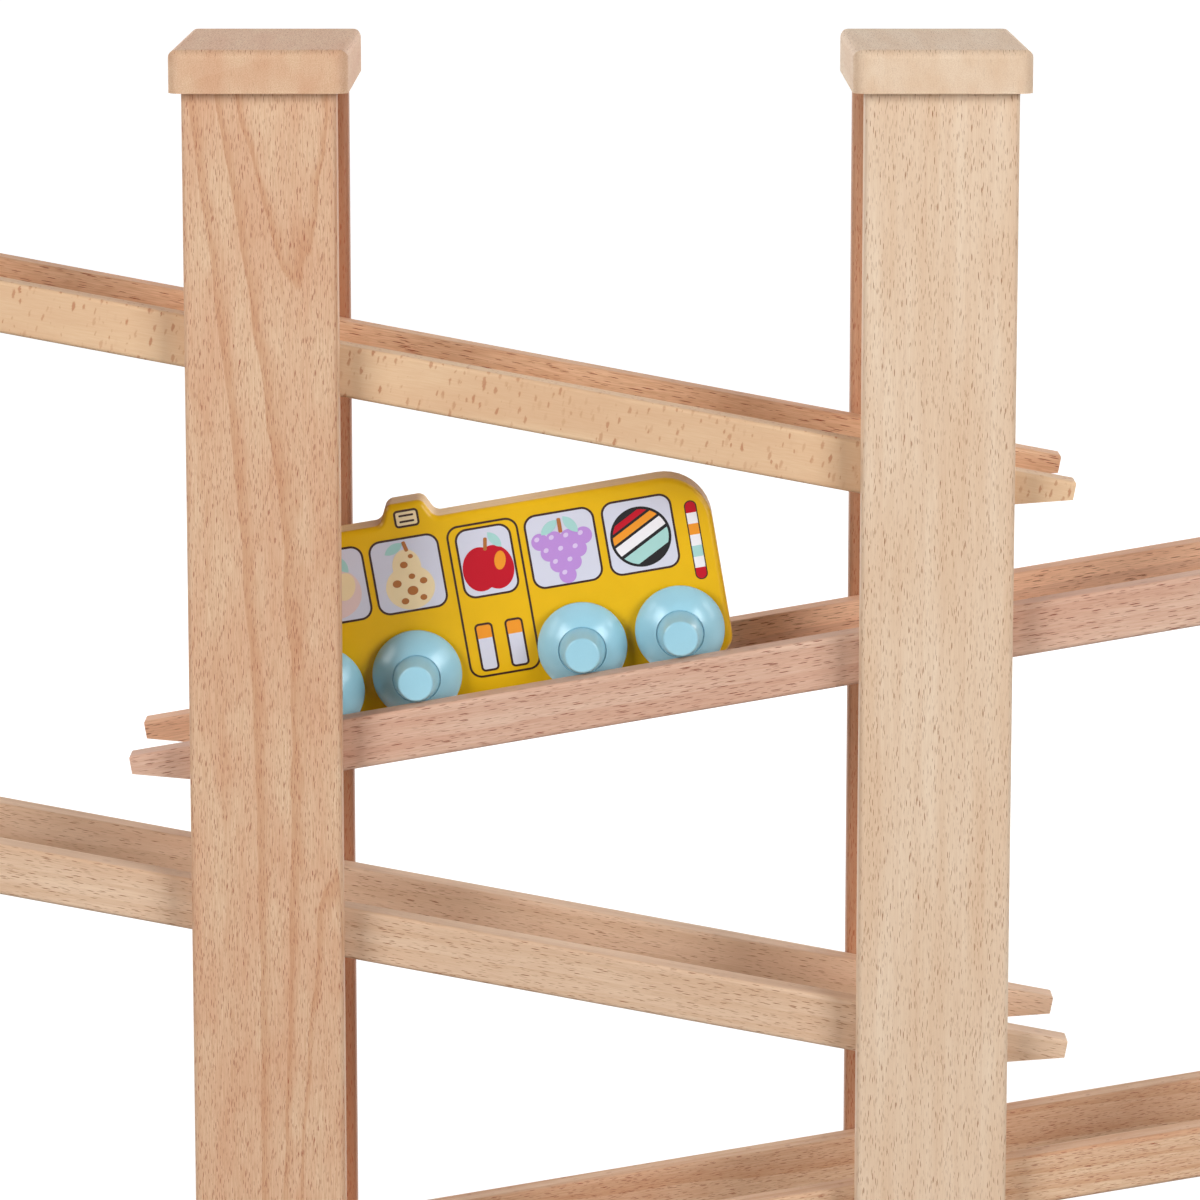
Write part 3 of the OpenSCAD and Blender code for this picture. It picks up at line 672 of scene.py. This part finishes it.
# Tail lamp bar with round ends, and a vent on the roof hatch
lamp = {
    "at": (71.3, 28.6), "width": 4.2, "length": 27, "line": 0.4, "endGap": 0.01,
    "bands": ("red", "white", "teal", "white", "orange", "white", "red"),
}
printPlate("outline", 0, lamp["at"], (lamp["width"], lamp["length"]), lamp["width"] / 2 - lamp["endGap"])
inner = (lamp["width"] - 2 * lamp["line"], lamp["length"] - 2 * lamp["line"])
bandHeight = inner[1] / len(lamp["bands"])
for k, ink in enumerate(lamp["bands"]):
    low = k * bandHeight - inner[1] / 2
    printPlate(ink, 1, lamp["at"], inner, inner[0] / 2 - lamp["endGap"], band=(low, low + bandHeight))
vent = {
    "at": (b["hatchAt"], 52.2), "size": (8.4, 6), "corner": 1.4,
    "slots": (-1, 1), "slotSize": (5, 0.7), "slotCorner": 0.3,
}
printPane("cream", 0, vent["at"], vent["size"], vent["corner"])
for dv in vent["slots"]:
    printPlate("outline", 2, (vent["at"][0], vent["at"][1] + dv), vent["slotSize"], vent["slotCorner"])

for ink, pieces in plates.items():
    startPiece()
    for plate in pieces:
        plate.select_set(True)
    bpy.context.view_layer.objects.active = pieces[0]
    bpy.ops.object.join()
    front = bpy.context.object
    front.name = "print" + ink.capitalize()
    bpy.ops.object.duplicate()
    rear = bpy.context.object
    rear.scale = (1, -1, 1)
    bpy.ops.object.transform_apply(location=False, rotation=False, scale=True)
    front.select_set(True)
    bpy.context.view_layer.objects.active = front
    bpy.ops.object.join()
    closePiece(front)
    settle(front, busMiddle, busTurn)
    front.data.materials.append(
        yellow if ink == "yellow" else enamelMaterial(f"{ink}PrintingInk", inks[ink], **inkFinish))
    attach(front, "bus")
print("print ready:", sum(len(p) for p in plates.values()), "plates in", len(plates), "inks")

# Wheels: one turned outline, from the back of the rim to the end of the hub
wheel = {
    "back": 9.6, "rim": 15, "rimRound": 2.2, "rimSteps": 12,
    "domeMiddle": 5.2335, "domeRadius": 16.586, "domeSteps": 16,
    "groove": 0.4, "grooveDeep": 0.48, "grooveIn": 0.1, "hubFoot": (7.65, 19.95), "hubEnd": (5.8, 29.2),
    "hubCuts": (6, 3), "endRound": 0.6, "endSteps": 4, "endFlat": 1.0, "segments": 96, "softAngle": 25,
    "blue": "#9FD4E7", "finish": {"roughness": 0.24, "mottle": 0.2, "grit": 0.5, "specular": 0.4},
}
w = wheel
rimX, rimY = w["rim"] - w["rimRound"], w["back"] + w["rimRound"]
outline = [(rimX, w["back"])]
rimTop = atan2(rimY - w["domeMiddle"], rimX)
for k in range(1, w["rimSteps"] + 1):
    a = -pi / 2 + (rimTop + pi / 2) * k / w["rimSteps"]
    outline.append((rimX + w["rimRound"] * cos(a), rimY + w["rimRound"] * sin(a)))
domeTop = acos((w["hubFoot"][0] + w["groove"]) / w["domeRadius"])
for k in range(1, w["domeSteps"] + 1):
    a = rimTop + (domeTop - rimTop) * k / w["domeSteps"]
    outline.append((w["domeRadius"] * cos(a), w["domeMiddle"] + w["domeRadius"] * sin(a)))
# a fine groove round the foot of the hub, then the hub's slightly tapered side
endX, endY = w["hubEnd"]
taper = (w["hubFoot"][0] - endX) / (endY - w["hubFoot"][1])
grooveFoot = outline[-1][1] - w["grooveDeep"]
outline.append((outline[-1][0] - w["grooveIn"], grooveFoot))
for back in (endY - grooveFoot, *w["hubCuts"], w["endRound"]):
    outline.append((endX + back * taper, endY - back))
for k in range(1, w["endSteps"] + 1):
    a = pi / 2 * k / w["endSteps"]
    outline.append((endX - w["endRound"] * (1 - cos(a)), endY - w["endRound"] * (1 - sin(a))))
outline.append((w["endFlat"], endY))

startPiece()
bpy.ops.mesh.primitive_circle_add(vertices=w["segments"], radius=outline[0][0] * mm, fill_type="NGON",
                                  location=(0, -outline[0][1] * mm, 0), rotation=(pi / 2, 0, 0))
turned = bpy.context.object
bpy.ops.object.transform_apply(location=True, rotation=True, scale=True)
bpy.ops.object.mode_set(mode="EDIT")
bpy.ops.mesh.select_mode(type="FACE")
bpy.ops.mesh.select_all(action="SELECT")
for (r0, y0), (r1, y1) in zip(outline, outline[1:]):
    bpy.ops.mesh.extrude_region_move(TRANSFORM_OT_translate={"value": (0, -(y1 - y0) * mm, 0)})
    bpy.ops.transform.resize(value=(r1 / r0, 1, r1 / r0), center_override=(0, 0, 0))
closePiece(turned, w["softAngle"])
turned.data.materials.append(enamelMaterial("lightBlueEnamel", w["blue"], **w["finish"]))
for n, axle in enumerate(axles, 1):
    for side, turn in (("front", 0), ("rear", pi)):
        startPiece()
        turned.select_set(True)
        bpy.context.view_layer.objects.active = turned
        bpy.ops.object.duplicate()
        piece = bpy.context.object
        piece.name = f"wheel{n}{side.capitalize()}"
        settle(piece, axle, (0, 0, turn))
        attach(piece, f"axle_{n}")
        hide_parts(f"wheel_{n}_{side}")
bpy.data.objects.remove(turned)
print("wheels ready")
